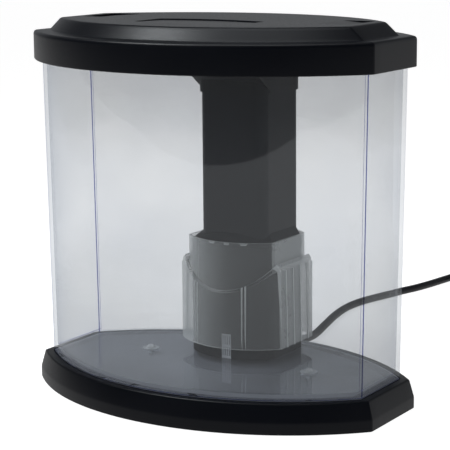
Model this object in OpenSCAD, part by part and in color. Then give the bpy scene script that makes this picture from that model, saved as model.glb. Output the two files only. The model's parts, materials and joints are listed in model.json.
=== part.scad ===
// Desk-top aquarium with a filter column: black base, clear tank, ribbed cup round the
// column's foot, submersible pump in the column, lid with a feeding hatch and a lamp.
// Millimetres. The origin is the centre of the base at the level it stands on, +Y is the back.
// A "barrel" is the plan shape of most parts: two flat sides, joined by a bowed front and back.

/* [Base] */
// Width over the base's flat sides
base_w = 302; // [280:1:330]
// Length of each flat side
base_side = 70; // [60:1:80]
// Depth over the base's front and back bows
base_d = 202; // [190:1:215]
// Height of the upright band under the slope
band_top = 10; // [8:0.5:12]
// Height of the ledge round the tank
ledge_z = 23.6; // [22:0.1:26]
// How far the slope runs in from the band to the ledge
base_slope = 3.8; // [2:0.1:6]
// Moulded wall of the base
base_wall = 2.6; // [2:0.1:4]

/* [Tank] */
// Width of the tank at its bottom
tank_w = 281; // [260:1:290]
// Length of the tank's flat side at its bottom
tank_side = 62; // [54:1:70]
// Depth of the tank at its bottom
tank_d = 181; // [170:1:190]
// Clear wall
tank_wall = 3; // [2.5:0.1:5]
// Underside of the tank
tank_z = 23.1; // [22.5:0.1:24]
// Upper face of the tank's floor
floor_z = 27.6; // [27:0.1:30]
// Upper edge of the tank
tank_top = 268; // [264:1:272]

/* [Lid] */
// Width over the lid's rim
lid_w = 300; // [290:1:320]
// Length of the rim's flat side
lid_side = 69; // [60:1:80]
// Depth over the rim
lid_d = 212; // [200:1:220]
// Lower edge of the rim
rim_z = 260.3; // [256:0.1:262]
// Upper face of the rim
rim_top = 283; // [281:0.1:286]
// Upper face of the plateau
plateau_z = 292.8; // [290:0.1:298]
// Moulded wall of the lid
lid_wall = 2.6; // [2:0.1:4]

/* [Hatch] */
// Width of the feeding hatch's opening
hatch_w = 92; // [80:1:100]
// Depth of the opening
hatch_d = 50; // [44:1:54]

/* [Column] */
// Width of the column
col_w = 59; // [54:1:62]
// Depth of the column
col_d = 61; // [58:1:64]
// Rounding of the column's corners
col_r = 9; // [6:0.5:10]
// Distance of the column's middle behind the tank's middle
col_y = 45.5; // [45:0.1:45.6]
// Upper edge of the column
col_top = 250; // [246:1:252]

/* [Cup] */
// Distance of the cup's middle behind the tank's middle
cup_y = 40.5; // [38:0.5:41]
// Lower edge of the cup
cup_z = 37.5; // [34:0.5:42]
// Height where the cup's shoulder starts
shoulder_z = 102; // [96:1:106]
// Upper edge of the cup's ring
ring_top = 121; // [119:0.5:121.5]

/* [Cord] */
// Diameter of the power cord
cord_d = 7; // [6:0.5:7]

/* [Hidden] */
$fn = 64;
FINE = 240; // circles of the large bows

// A barrel outline is [half width, bow radius, bow centre's distance past the middle].
function outline(w, side, d) =
    let (rise = (d - side) / 2, r = (w * w / 4 + rise * rise) / (2 * rise))
    [w / 2, r, r - d / 2];
function grown(o, t) = [o[0] + t, o[1] + t, o[2]];
function drafted(o, rate, up) = [o[0] + rate[0] * up, o[1] + rate[1] * up, o[2]];

base_o = outline(base_w, base_side, base_d);
tank_o = outline(tank_w, tank_side, tank_d);
lid_o = outline(lid_w, lid_side, lid_d);
col_o = outline(col_w, col_d - 5, col_d);
cup_o = outline(92, 49.6, 92);
ring_o = drafted(cup_o, [-7, -5], 1);
chamber_o = grown(ring_o, -2.1);

skirt_z = 1; // the skirt's lower edge, held off the table by the feet
deck_z = tank_z - 1; // the tank's seat, under its gasket
deck_t = 3;
cover_z = 2;
cover_t = 2.5;
base_rate = [-base_slope, -base_slope] / (ledge_z - band_top);
tank_rate = [0.0150, 0.0120]; // the mould's draft, at the sides and at the bows
boss_spots = [[-100, -40], [100, -40], [-100, 40], [100, 40]];
foot_spots = [[-110, -52], [110, -52], [-110, 52], [110, 52]];
fixing_spots = [[-65, -2], [80, -2]]; // the two screws that hold the tank down
conduit_y = 68.5;
conduit_r = 5;
foot_top = 50;
chamber_top = 117;
neck_z = 126;
head_z = 235;
head_top = 262;

// A barrel block of height h. Its outline grows by flare: at the sides, the front bow and the
// back bow, where the back one is given only if it differs.
module barrel(o, h, flare = [0, 0]) {
    intersection() {
        translate([0, o[2], 0]) cylinder(r1 = o[1], r2 = o[1] + flare[1], h = h, $fn = FINE);
        translate([0, -o[2], 0])
            cylinder(r1 = o[1], r2 = o[1] + flare[len(flare) - 1], h = h, $fn = FINE);
        rotate([90, 0, 0]) linear_extrude(height = 4 * o[1], center = true)
            polygon([[-o[0], 0], [o[0], 0], [o[0] + flare[0], h], [-o[0] - flare[0], h]]);
    }
}

// A barrel outline whose four corners are rounded by r.
module round_barrel(o, r) {
    corner_y = sqrt(pow(o[1] - r, 2) - pow(o[0] - r, 2)) - o[2];
    bow_x = (o[0] - r) * o[1] / (o[1] - r);
    intersection() {
        translate([0, o[2]]) circle(r = o[1], $fn = FINE);
        translate([0, -o[2]]) circle(r = o[1], $fn = FINE);
        square([2 * bow_x, 4 * o[1]], center = true);
    }
    square([2 * o[0], 2 * corner_y], center = true);
    for (x = [-1, 1], y = [-1, 1])
        translate([x * (o[0] - r), y * corner_y]) circle(r = r);
}

module tube(r_out, r_in, h) {
    difference() {
        cylinder(r = r_out, h = h);
        translate([0, 0, -1]) cylinder(r = r_in, h = h + 2);
    }
}

module at(spots, z = 0) {
    for (p = spots) translate([p[0], p[1], z]) children();
}

// ---------------------------------------------------------------- base

gland_x = -6;
gland_z = 10.5;
lead_y = base_d / 2; // where the cord leaves the base

module base_form(inset, low, top) {
    o = grown(base_o, -inset);
    translate([0, 0, low]) barrel(o, band_top - low);
    translate([0, 0, band_top]) barrel(o, top - band_top, base_rate * (top - band_top));
}

module base_tray() color([0.03, 0.03, 0.035]) {
    boss_low = cover_z + cover_t;
    under = deck_z - deck_t;
    difference() {
        union() {
            difference() {
                base_form(0, skirt_z, ledge_z);
                base_form(base_wall, skirt_z - 1, under);
                translate([0, 0, deck_z]) barrel(grown(tank_o, 0.4), 5);
            }
            at(boss_spots, boss_low) cylinder(r = 4, h = under + 1 - boss_low);
            at(fixing_spots, 12) cylinder(r = 5.5, h = under - 11);
        }
        at(boss_spots, boss_low - 1) cylinder(r = 1.35, h = 11);
        at(fixing_spots, 13) cylinder(r = 2.05, h = 12);
        translate([0, conduit_y, under - 1]) cylinder(r = 12.5, h = 6);
        translate([gland_x, lead_y + 1, gland_z]) rotate([90, 0, 0]) cylinder(r = 6, h = 9);
    }
}

module bottom_cover() color([0.06, 0.06, 0.065]) difference() {
    translate([0, 0, cover_z]) barrel(grown(base_o, -base_wall - 0.4), cover_t);
    at(boss_spots, cover_z - 1) cylinder(r = 1.8, h = cover_t + 2);
    for (x = [-60 : 15 : 60]) translate([x, -60, cover_z - 1]) {
        cylinder(r = 1.5, h = cover_t + 2);
        translate([-1.5, 0, 0]) cube([3, 30, cover_t + 2]);
        translate([0, 30, 0]) cylinder(r = 1.5, h = cover_t + 2);
    }
}

module base_feet() color([0.1, 0.1, 0.1])
    at(foot_spots) rotate_extrude()
        polygon([[0, 0], [8.4, 0], [9, 0.6], [9, cover_z], [0, cover_z]]);

module pan_screw(head_r, head_h, shank_r, length) {
    difference() {
        cylinder(r = head_r, h = head_h);
        translate([0, 0, -0.01]) for (a = [0, 90])
            rotate(a) translate([-head_r * 0.55, -0.35, 0]) cube([head_r * 1.1, 0.7, head_h * 0.55]);
    }
    translate([0, 0, head_h]) cylinder(r = shank_r, h = length);
}

module cover_screws() color([0.6, 0.6, 0.62])
    at(boss_spots, cover_z - 1.2) pan_screw(2.8, 1.2, 1.3, 11);

module seat_gasket() color([0.05, 0.05, 0.05]) difference() {
    translate([0, 0, deck_z]) barrel(grown(tank_o, -0.5), tank_z - deck_z);
    translate([0, 0, deck_z - 1]) barrel(grown(tank_o, -9), 3);
}

// ---------------------------------------------------------------- tank

module tank_form(inset, low, top) {
    o = grown(drafted(tank_o, tank_rate, low - tank_z), -inset);
    translate([0, 0, low]) barrel(o, top - low, tank_rate * (top - low));
}

module tank_shell() color([0.8, 0.85, 0.88, 0.3]) difference() {
    tank_form(0, tank_z, tank_top);
    tank_form(tank_wall, floor_z, tank_top + 1);
    at(fixing_spots, tank_z - 1) cylinder(r = 2.3, h = 8);
    translate([0, conduit_y, tank_z - 1]) cylinder(r = conduit_r + 0.2, h = 8);
}

seal_t = 1.2;
module floor_screws() color([0.7, 0.7, 0.72])
    at(fixing_spots) {
        translate([0, 0, 14]) cylinder(r = 2, h = floor_z + seal_t - 14);
        translate([0, 0, floor_z + seal_t]) rotate_extrude() difference() {
            translate([0, -1.2]) circle(r = 4);
            translate([-10, -20]) square([10, 40]);
            translate([0, -20]) square([10, 20]);
        }
    }

module floor_seals() color([0.85, 0.88, 0.9, 0.5])
    at(fixing_spots, floor_z) tube(6.8, 2.3, seal_t);

// ---------------------------------------------------------------- column

chamber_r = 8; // rounding of the chamber's corners
ring_r = 6; // rounding of the cup's ring
module chamber_slab(o, z, h) translate([0, cup_y, z])
    linear_extrude(height = h) round_barrel(o, max(chamber_r + o[0] - chamber_o[0], 1));
module column_slab(o, r, z, h) translate([0, col_y, z]) linear_extrude(height = h) round_barrel(o, r);

slot_x = 3.5;
slot_w = 9;
slot_top = 47.6;
clamp_z = 30.1;
module column_foot() color([0.15, 0.16, 0.18]) {
    difference() {
        chamber_slab(chamber_o, floor_z, foot_top - floor_z);
        chamber_slab(grown(chamber_o, -2.2), floor_z - 1, foot_top - floor_z - 2);
        chamber_slab(grown(chamber_o, -5), floor_z, foot_top);
        translate([slot_x - slot_w / 2, -40, floor_z - 1]) cube([slot_w, 80, slot_top - floor_z + 1]);
    }
    difference() {
        union() {
            translate([0, conduit_y, clamp_z]) cylinder(r = 10, h = 3);
            translate([-9, conduit_y, clamp_z]) cube([18, 9.5, 3]);
        }
        translate([0, conduit_y, clamp_z - 1]) cylinder(r = conduit_r + 0.2, h = 6);
        difference() {
            translate([-30, conduit_y, clamp_z - 2]) cube([60, 30, 8]);
            chamber_slab(grown(chamber_o, -1), clamp_z - 3, 10);
        }
    }
}

// The strainer in the foot's slot, with two rows of upright slits.
module inlet_strainer() color([0.6, 0.61, 0.63]) difference() {
    translate([slot_x - slot_w / 2 + 0.2, 2.5, floor_z + 0.2])
        cube([slot_w - 0.4, 1.6, slot_top - floor_z - 0.4]);
    for (x = [-3 : 2 : 3], z = [29.8, 38.6])
        translate([slot_x + x - 0.4, 2, z]) cube([0.8, 3, 7.4]);
}

cup_wall = 1.8;
cup_rate = [-1.6, -1.2]; // how much the body narrows up to the shoulder
shoulder_h = 6;
scallop_r = 52;
scallop_z = 83 + scallop_r;

// The cup's body, with the sloping shoulder that runs in to its ring.
module cup_body(inset, low) {
    o = grown(cup_o, -inset);
    top = drafted(o, cup_rate, 1);
    translate([0, cup_y, low]) barrel(o, shoulder_z - low, cup_rate);
    translate([0, cup_y, shoulder_z])
        barrel(top, shoulder_h, [ring_o[0] - cup_o[0], ring_o[1] - cup_o[1]] - cup_rate);
}

module cup_ring(low, top) translate([0, cup_y, low])
    linear_extrude(height = top - low) round_barrel(ring_o, ring_r);

// The round bites that the body's front and back leave round the ring.
module scallop(r)
    translate([0, cup_y + 60, scallop_z]) rotate([90, 0, 0]) cylinder(r = r, h = 120);

// Thin upright ribs on the flat sides, paired ones on the bows and a stout one at each corner.
module cup_ribs() {
    rib_h = shoulder_z - cup_z - 3;
    for (side = [0, 1], i = [-1.5 : 1 : 1.5]) mirror([side, 0, 0])
        translate([0, cup_y + 11 * i + 0.6, cup_z]) rotate([90, 0, 0]) linear_extrude(height = 1.2)
            polygon([[43, 0], [47, 0], [45.5, rib_h], [43, rib_h]]);
    for (x = [-23, -20.4, 20.4, 23], way = [-1, 1])
        translate([x - 0.45, cup_y + way * (sqrt(pow(cup_o[1], 2) - x * x) - cup_o[2] - 1) - 1, cup_z])
            cube([0.9, 2, 53]);
    for (side = [-1, 1], way = [-1, 1])
        translate([side * 43.4, cup_y + way * 23.7, cup_z]) rotate(side * way * 60)
            translate([-2.1, -1.6, 0]) cube([4.2, 3.2, rib_h]);
}

// The snap lugs that hang the cup on the chamber's shoulder.
module cup_lugs() {
    for (x = [-9, 5, 19], way = [0, 1]) translate([0, cup_y, ring_top - 2.2]) mirror([0, way, 0])
        translate([0, -ring_o[2], 0]) rotate(-asin(x / ring_o[1]))
            translate([-2, ring_o[1] - 2.4, 0]) cube([4, 1.5, 1.8]);
}

module filter_cup() color([0.8, 0.82, 0.8, 0.45]) {
    difference() {
        union() {
            difference() {
                union() {
                    cup_body(0, cup_z);
                    cup_ribs();
                }
                scallop(scallop_r);
            }
            cup_ring(78, ring_top);
        }
        difference() {
            cup_body(cup_wall, cup_z - 1);
            scallop(scallop_r + cup_wall);
        }
        translate([0, cup_y, cup_z - 1]) barrel(grown(ring_o, -cup_wall), ring_top - cup_z + 2);
    }
    cup_lugs();
}

// The chamber's neck leans in to the column's front, back and sides.
neck_flare = [col_o[0] - chamber_o[0],
    (col_o[1] - col_o[2] - col_y) - (chamber_o[1] - chamber_o[2] - cup_y),
    (col_o[1] - col_o[2] + col_y) - (chamber_o[1] - chamber_o[2] + cup_y)];
module neck(inset, low) intersection() {
    translate([0, cup_y, low]) barrel(grown(chamber_o, -inset), neck_z - chamber_top, neck_flare);
    chamber_slab(grown(chamber_o, -inset), low, neck_z - chamber_top);
}

module pump_chamber() color([0.15, 0.16, 0.18]) difference() {
    union() {
        chamber_slab(chamber_o, foot_top, chamber_top - foot_top);
        neck(0, chamber_top);
        column_slab(col_o, col_r, chamber_top - 1, neck_z - chamber_top + 1);
    }
    chamber_slab(grown(chamber_o, -2), foot_top - 1, chamber_top - foot_top - 0.5);
    neck(2, chamber_top - 1.5);
    column_slab(grown(col_o, -2), col_r - 2, chamber_top - 4, 20);
}

module column_tube() color([0.15, 0.16, 0.18]) difference() {
    column_slab(col_o, col_r, neck_z, col_top - neck_z);
    column_slab(grown(col_o, -2), col_r - 2, neck_z - 1, col_top - neck_z + 2);
}

chute_front = 8; // the chute's front face
module column_head() color([0.1, 0.1, 0.11]) difference() {
    union() {
        column_slab(grown(col_o, 1.6), col_r + 1.6, head_z, head_top - head_z);
        chute(31.1, 0);
    }
    column_slab(grown(col_o, 0.3), col_r + 0.3, head_z - 1, col_top - head_z + 1);
    column_slab(grown(col_o, -2), col_r - 2, head_z, 40);
    chute(29.3, 1.8);
    translate([-24, chute_front - 1, 252]) cube([48, 6, 7]);
}

// The outfall chute: a prism that widens forward and up from the head's sides.
module chute(half_w, inset) {
    rotate([90, 0, 90]) translate([0, 0, -half_w]) linear_extrude(height = 2 * half_w)
        polygon([[27, 236 + inset * 1.2], [chute_front + inset, 249.2 + inset * 0.6],
            [chute_front + inset, head_top + inset], [27, head_top + inset]]);
}

// ---------------------------------------------------------------- pump and its parts

sponge_z = 52;
shelf_z = 70.2;
axis_z = 89;
motor_y = 39; // the motor block's front face
magnet_r = 6.4;
shaft_r = 1.25;
running = 0.07; // radial gap round the fixed shaft
leg_spots = [[-26, 24], [26, 24], [-26, 57], [26, 57]];

module inside_chamber(gap, z, h) chamber_slab(grown(chamber_o, -2 - gap), z, h);
module conduit_hole(z, h, gap = 0.6) translate([0, conduit_y, z]) cylinder(r = conduit_r + gap, h = h);

// A round bar or hole along Y, from y to y + h.
module along_y(x, y, z, r, h) translate([x, y + h, z]) rotate([90, 0, 0]) cylinder(r = r, h = h);

module sponge_grid() color([0.2, 0.21, 0.23]) difference() {
    inside_chamber(0.2, foot_top, 2);
    conduit_hole(foot_top - 1, 4);
    for (x = [-27 : 4.5 : 27]) translate([x - 1.2, cup_y - 24, foot_top - 1])
        cube([2.4, abs(x) < 9 ? 40 : 48, 4]);
}

module filter_sponge() color([0.12, 0.13, 0.16]) difference() {
    inside_chamber(0.4, sponge_z, shelf_z - 2 - sponge_z);
    conduit_hole(sponge_z - 1, 30);
    at(leg_spots, sponge_z - 1) cylinder(r = 2.8, h = 30);
}

module pump_shelf() color([0.2, 0.21, 0.23]) {
    difference() {
        inside_chamber(0.4, shelf_z - 2, 2);
        conduit_hole(shelf_z - 3, 4);
        for (x = [-24, -16, -8, 8, 16, 24], y = [14, 22, 30]) translate([x, y, shelf_z - 3])
            cylinder(r = 2.5, h = 4);
    }
    at(leg_spots, sponge_z) cylinder(r = 2.5, h = shelf_z - 2 - sponge_z);
}

module motor_block() color([0.1, 0.1, 0.11]) difference() {
    translate([-19, motor_y, shelf_z]) cube([38, 21, 37.8]);
    difference() {
        translate([-16, motor_y + 3, 71.8]) cube([32, 20, 29.2]);
        along_y(0, motor_y, axis_z, 8.2, 20);
    }
    along_y(0, motor_y - 1, axis_z, 7, 20);
}

module motor_cover() color([0.1, 0.1, 0.11]) difference() {
    translate([-19, 60, shelf_z]) cube([38, 2.5, 37.8]);
    along_y(12, 59, 98, 1.85, 5);
}

module motor_core() color([0.45, 0.45, 0.47]) {
    difference() {
        translate([-15.5, 45, 74]) cube([31, 9, 26]);
        translate([-9.2, 44, 78.4]) cube([18.4, 11, 30]);
    }
}

module motor_coil() color([0.72, 0.4, 0.2]) difference() {
    translate([-8.8, 42.6, 72]) cube([17.6, 13.8, 8.4]);
    translate([-10, 45, 74]) cube([20, 9, 4.4]);
}

module pump_volute() color([0.15, 0.16, 0.18]) difference() {
    union() {
        along_y(0, 29, axis_z, 17, motor_y - 29);
        translate([10, 34, axis_z]) cylinder(r = 4.8, h = 24);
    }
    along_y(0, 31.2, axis_z, 14, motor_y - 31.2 + 1);
    along_y(0, 30, axis_z, 3, 5);
    translate([10, 34, axis_z]) cylinder(r = 3.4, h = 30);
    for (a = [30 : 60 : 330])
        translate([7.5 * cos(a), 28, axis_z + 7.5 * sin(a)]) rotate([-90, 0, 0]) cylinder(r = 2.4, h = 5);
}

module shaft_bushes() color([0.15, 0.15, 0.15]) {
    difference() {
        along_y(0, 30, axis_z, 3, 3.4);
        along_y(0, 31.4, axis_z, shaft_r + 0.02, 4);
    }
    difference() {
        along_y(0, 55.8, axis_z, 6.9, 2.2);
        along_y(0, 55, axis_z, shaft_r + 0.02, 2.4);
    }
}

module pump_shaft() color([0.9, 0.9, 0.88]) along_y(0, 31.5, axis_z, shaft_r, 25.8);

module impeller() color([0.85, 0.85, 0.83]) difference() {
    union() {
        along_y(0, 34, axis_z, 3.2, 6.5);
        along_y(0, 37.4, axis_z, 12, 1);
        for (a = [0 : 60 : 300]) translate([0, 34.4, axis_z]) rotate([0, a, 0])
            translate([2, 0, -0.6]) cube([10, 3.5, 1.2]);
    }
    along_y(0, 33, axis_z, shaft_r + running, 10);
}

module rotor_magnet() color([0.2, 0.2, 0.21]) difference() {
    along_y(0, 40.5, axis_z, magnet_r, 14.5);
    along_y(0, 40, axis_z, shaft_r + running, 20);
}

module riser_pipe() color([0.8, 0.85, 0.88, 0.4]) translate([10, 34, 0]) {
    difference() {
        translate([0, 0, 108.4]) cylinder(r = 6.2, h = 138.6);
        translate([0, 0, 100]) cylinder(r = 4.85, h = 150);
    }
}

// The venturi's nipple: it points out of the riser, then up into the air tube.
module air_nozzle() color([0.15, 0.16, 0.18]) {
    difference() {
        translate([14, 34, 118]) rotate([0, 90, 0]) cylinder(r = 1.7, h = 8.7);
        translate([10, 34, 110]) cylinder(r = 6.2, h = 20);
    }
    translate([21, 34, 118]) cylinder(r = 1.15, h = 8);
}

module air_tube() color([0.75, 0.8, 0.82, 0.5])
    translate([21, 34, 119.8]) tube(2.2, 1.2, 136);

// ---------------------------------------------------------------- conduit and leads

socket_z = 262;
module lead_conduit() color([0.12, 0.12, 0.13]) translate([0, conduit_y, 0]) {
    tube_z = 14;
    difference() {
        union() {
            translate([0, 0, tube_z]) cylinder(r = conduit_r, h = socket_z - tube_z);
            translate([0, 0, clamp_z + 3]) cylinder(r = 8.4, h = 2.5);
        }
        translate([0, 0, tube_z - 1]) cylinder(r = 3.6, h = socket_z);
    }
}

module conduit_seal() color([0.08, 0.08, 0.08])
    translate([0, conduit_y, floor_z]) tube(8.4, conduit_r + 0.1, clamp_z - floor_z);

module conduit_nut() color([0.75, 0.75, 0.72]) translate([0, conduit_y, 0]) difference() {
    translate([0, 0, 16.6]) cylinder(r = 11, h = tank_z - 16.6, $fn = 6);
    translate([0, 0, 16]) cylinder(r = conduit_r + 0.1, h = 9);
}

module lamp_socket() color([0.08, 0.08, 0.09]) translate([0, conduit_y, 0]) difference() {
    intersection() {
        translate([0, 0, 257]) cylinder(r = 5.8, h = 9);
        translate([-10, -10, 257]) cube([20, 15, 9]);
    }
    translate([0, 0, 256]) cylinder(r = conduit_r + 0.1, h = socket_z - 256);
    translate([0, 0, socket_z - 0.5]) cylinder(r = 2, h = 5);
}

// A swept round lead: rings of sides points, square to a route that never runs straight up.
function unit(v) = v / norm(v);
function bearing(p, i) = unit(p[min(i + 1, len(p) - 1)] - p[max(i - 1, 0)]);
module swept(p, r, sides, side_of = [0, 0, 1]) {
    rings = [for (i = [0 : len(p) - 1])
        let (t = bearing(p, i), u = unit(cross(t, side_of)), v = cross(u, t))
        for (k = [0 : sides - 1]) p[i] + r * (cos(360 * k / sides) * u + sin(360 * k / sides) * v)];
    last = (len(p) - 1) * sides;
    polyhedron(rings, concat(
        [[for (k = [0 : sides - 1]) k], [for (k = [sides - 1 : -1 : 0]) last + k]],
        [for (i = [0 : len(p) - 2], k = [0 : sides - 1])
            let (a = i * sides + k, b = i * sides + (k + 1) % sides) [a, a + sides, b + sides, b]]));
}

module pump_lead() color([0.06, 0.06, 0.06])
    swept([[12, 62.6, 98], [12, 65, 98.6], [12, 66.6, 101], [12, 67, 105], [12, 67, 250], [11.4, 67.2, 255],
        [9.6, 67.6, 258.6], [7.6, 68, 260.4], [5.9, 68.4, 261]], 1.7, 8, [1, 0, 0]);

box_y = 18; // the driver box's back face
module driver_box() color([0.2, 0.2, 0.21]) difference() {
    translate([-40, box_y - 40, cover_z + cover_t]) cube([70, 40, 12]);
    for (x = [-36 : 6 : 24]) translate([x, box_y - 34, cover_z + cover_t + 11]) cube([3, 28, 2]);
}

module inner_lead() color([0.06, 0.06, 0.06]) {
    swept([[gland_x, 96.4, gland_z], [gland_x, 88, gland_z], [gland_x, 79, gland_z],
        [gland_x - 3, 68, gland_z], [gland_x - 7, 56, gland_z], [gland_x - 8, 46, gland_z],
        [gland_x - 8, 32, gland_z], [gland_x - 8, box_y, gland_z]], 2.8, 10);
    swept([[8, box_y, 10], [8, 30, 10], [7, 44, 9.4], [4, 56, 9], [1.4, 63, 9.6], [0.4, 66.6, 11.4],
        [0, 68.2, 14]], 2.2, 10, [1, 0.2, 0]);
}

module lead_clamp() color([0.15, 0.15, 0.16]) difference() {
    translate([gland_x - 13, 80, cover_z + cover_t]) cube([26, 8, 11.5]);
    along_y(gland_x, 79, gland_z, 3.3, 10);
    for (x = [-9, 9]) translate([gland_x + x, 84, 6]) cylinder(r = 1.35, h = 12);
}

module clamp_screws() color([0.6, 0.6, 0.62])
    for (x = [-9, 9]) translate([gland_x + x, 84, 17.2]) mirror([0, 0, 1]) pan_screw(2.6, 1.2, 1.3, 9);

// ---------------------------------------------------------------- lid

slope_o = outline(277, 57, 186);
slope_rate = [-11.1, -8.5]; // how far the slope runs in, from the rim up to the plateau
rim_deck = 280.4; // underside of the rim's upper face
under_z = plateau_z - lid_wall;
hatch_y = -27; // middle of the hatch's opening
hatch_o = outline(hatch_w, hatch_d - 16, hatch_d);
hinge_y = -15;
hinge_z = 288.5;
pin_r = 1;
top_o = drafted(tank_o, tank_rate, tank_top - tank_z);
lamp_y = 42;
lamp_w = 160;
ear_spots = [for (x = [-87, 87], y = [-10, 10]) [x, lamp_y + y]];

module lid_rib(outer, inner, low) difference() {
    translate([0, 0, low]) barrel(grown(top_o, outer), rim_deck + 0.6 - low);
    translate([0, 0, low - 1]) barrel(grown(top_o, inner), 30);
}

// A shallow grip in the plateau near one end, deepest at its outer wall.
module end_grip(side) mirror([side < 0 ? 1 : 0, 0, 0])
    translate([91, -12, plateau_z]) rotate([0, 3.6, 0]) cube([30, 42, 6]);

module lid_shell() color([0.03, 0.03, 0.035]) {
    slope_h = plateau_z - rim_top;
    difference() {
        union() {
            difference() {
                union() {
                    translate([0, 0, rim_z]) barrel(lid_o, rim_top - rim_z);
                    translate([0, 0, rim_top]) barrel(slope_o, slope_h, slope_rate);
                }
                translate([0, 0, rim_z - 1]) barrel(grown(lid_o, -lid_wall), rim_deck - rim_z + 1);
                translate([0, 0, rim_deck - 0.1])
                    barrel(grown(slope_o, -3.2), under_z - rim_deck + 0.1, slope_rate);
            }
            lid_rib(1, -1, tank_top);
            lid_rib(-3.8, -5.8, tank_top - 5);
            translate([0, hatch_y, under_z - 2]) difference() {
                barrel(grown(hatch_o, 4), 2.5);
                translate([0, 0, -1]) barrel(grown(hatch_o, -2.5), 5);
                translate([-60, hinge_y - hatch_y - 5, -1]) cube([120, 60, 5]);
            }
            for (x = [-53, 47.4]) translate([x, hinge_y - 3, hinge_z - 2.6]) cube([5.6, 6, 5]);
            at(ear_spots, 282) cylinder(r = 3.6, h = under_z + 0.5 - 282);
        }
        translate([0, hatch_y, under_z - 0.1]) barrel(hatch_o, 10);
        translate([-60, hinge_y, hinge_z]) rotate([0, 90, 0]) cylinder(r = pin_r + 0.06, h = 120);
        at(ear_spots, 281) cylinder(r = 1.35, h = 8.5);
        end_grip(1);
        end_grip(-1);
    }
}

// The hatch's back edge is flatter than its opening, which leaves a slot for the back strip to dip.
module feeding_hatch() color([0.05, 0.05, 0.055]) {
    low = under_z + 0.2;
    difference() {
        union() {
            intersection() {
                translate([0, hatch_y, low]) barrel(grown(hatch_o, -0.5), 5);
                translate([0, -172.5, low]) cylinder(r = 167.5, h = 5, $fn = FINE);
                rotate([90, 0, 90]) linear_extrude(height = 120, center = true)
                    polygon([[-60, low], [0, low], [0, low + 1.4], [-22, low + 1.5], [-60, low + 2.2]]);
            }
            for (x = [-45, 40.5]) translate([x, hinge_y, hinge_z]) {
                rotate([0, 90, 0]) cylinder(r = 2.1, h = 4.5);
                translate([0, -2.1, 0]) cube([4.5, 4.2, low + 0.4 - hinge_z]);
            }
        }
        translate([-60, hinge_y, hinge_z]) rotate([0, 90, 0]) cylinder(r = pin_r + 0.01, h = 120);
    }
}

module hatch_pins() color([0.75, 0.75, 0.77])
    for (x = [-51, 40.5]) translate([x, hinge_y, hinge_z]) rotate([0, 90, 0])
        cylinder(r = pin_r, h = 10.5);

module lamp_tray() color([0.92, 0.92, 0.9]) difference() {
    union() {
        translate([-lamp_w / 2, lamp_y - 20, 274]) cube([lamp_w, 40, 8]);
        translate([-92, lamp_y - 14, 280.4]) cube([184, 28, 1.6]);
        translate([-8, lamp_y + 15, 280.4]) cube([16, 19, 1.6]);
    }
    translate([-lamp_w / 2 + 1.5, lamp_y - 18.5, 273]) cube([lamp_w - 3, 37, 4.2]);
    translate([-lamp_w / 2 + 4, lamp_y - 16, 273]) cube([lamp_w - 8, 32, 7.4]);
    at(ear_spots, 279) cylinder(r = 1.8, h = 5);
}

module lamp_screws() color([0.6, 0.6, 0.62]) at(ear_spots, 279.2) pan_screw(2.8, 1.2, 1.3, 8);

module led_board() color([0.9, 0.92, 0.9])
    translate([-lamp_w / 2 + 6, lamp_y - 9, 278.9]) cube([lamp_w - 12, 18, 1.5]);

module led_chips() color([0.95, 0.85, 0.4])
    for (x = [-65 : 13 : 65], y = [-4.5, 4.5])
        translate([x - 1.75, lamp_y + y - 1.4, 278.1]) cube([3.5, 2.8, 0.8]);

module lamp_window() color([0.9, 0.93, 0.95, 0.4])
    translate([-lamp_w / 2 + 1.7, lamp_y - 18.3, 274]) cube([lamp_w - 3.4, 36.6, 2]);

module window_seal() color([0.1, 0.1, 0.1]) translate([0, lamp_y, 276]) difference() {
    translate([-lamp_w / 2 + 1.7, -18.3, 0]) cube([lamp_w - 3.4, 36.6, 1.2]);
    translate([-lamp_w / 2 + 4, -16, -1]) cube([lamp_w - 8, 32, 4]);
}

module lamp_plug() color([0.08, 0.08, 0.09]) translate([0, conduit_y, 0]) {
    translate([0, 0, 267]) cylinder(r = 5.8, h = 280.4 - 267);
    translate([0, 0, 263]) cylinder(r = 1.6, h = 4.5);
}

// ---------------------------------------------------------------- cord

CORD_ROUTE = [[gland_x, 130, 10.5], [-8, 147, 9.5], [-12, 164, 7], [-17, 182, 4.5], [-22, 200, 3.5],
    [-27, 219, 3.5], [-32, 238, 3.5], [-37, 258, 3.5], [-41, 279, 3.5], [-43, 300, 3.5], [-42, 321, 3.5],
    [-38, 341, 3.5], [-33, 361, 3.5], [-28, 382, 3.5], [-22, 403, 3.5], [-18, 424, 3.5], [-15, 445, 3.5],
    [-12, 466, 3.5], [-9, 486, 3.5], [-8, 505, 3.5]];
coil_x = 37;
coil_y = 505;
coil_turns = [45, 38, 31]; // middle radius of each turn of the lower layer
coil_rise = 6;
PLUG_ROUTE = [[78, 509, 9.5], [80, 491, 9.5], [82, 475, 9], [83, 458, 9]];
plug_y = 458;
plug_x = 83;
plug_z = 9;

module cord_gland() color([0.07, 0.07, 0.075]) difference() {
    union() {
        along_y(gland_x, 96.4, gland_z, 5.9, 6);
        along_y(gland_x, lead_y, gland_z, 7.8, 2.2);
        translate([gland_x, 130, gland_z]) rotate([90, 0, 0]) cylinder(r1 = 4.4, r2 = 6, h = 28);
    }
    along_y(gland_x, 102, gland_z, cord_d / 2, 30);
}

module power_cord() color([0.04, 0.04, 0.045]) {
    swept(CORD_ROUTE, cord_d / 2, 10);
    swept(PLUG_ROUTE, cord_d / 2, 10);
}

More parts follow.
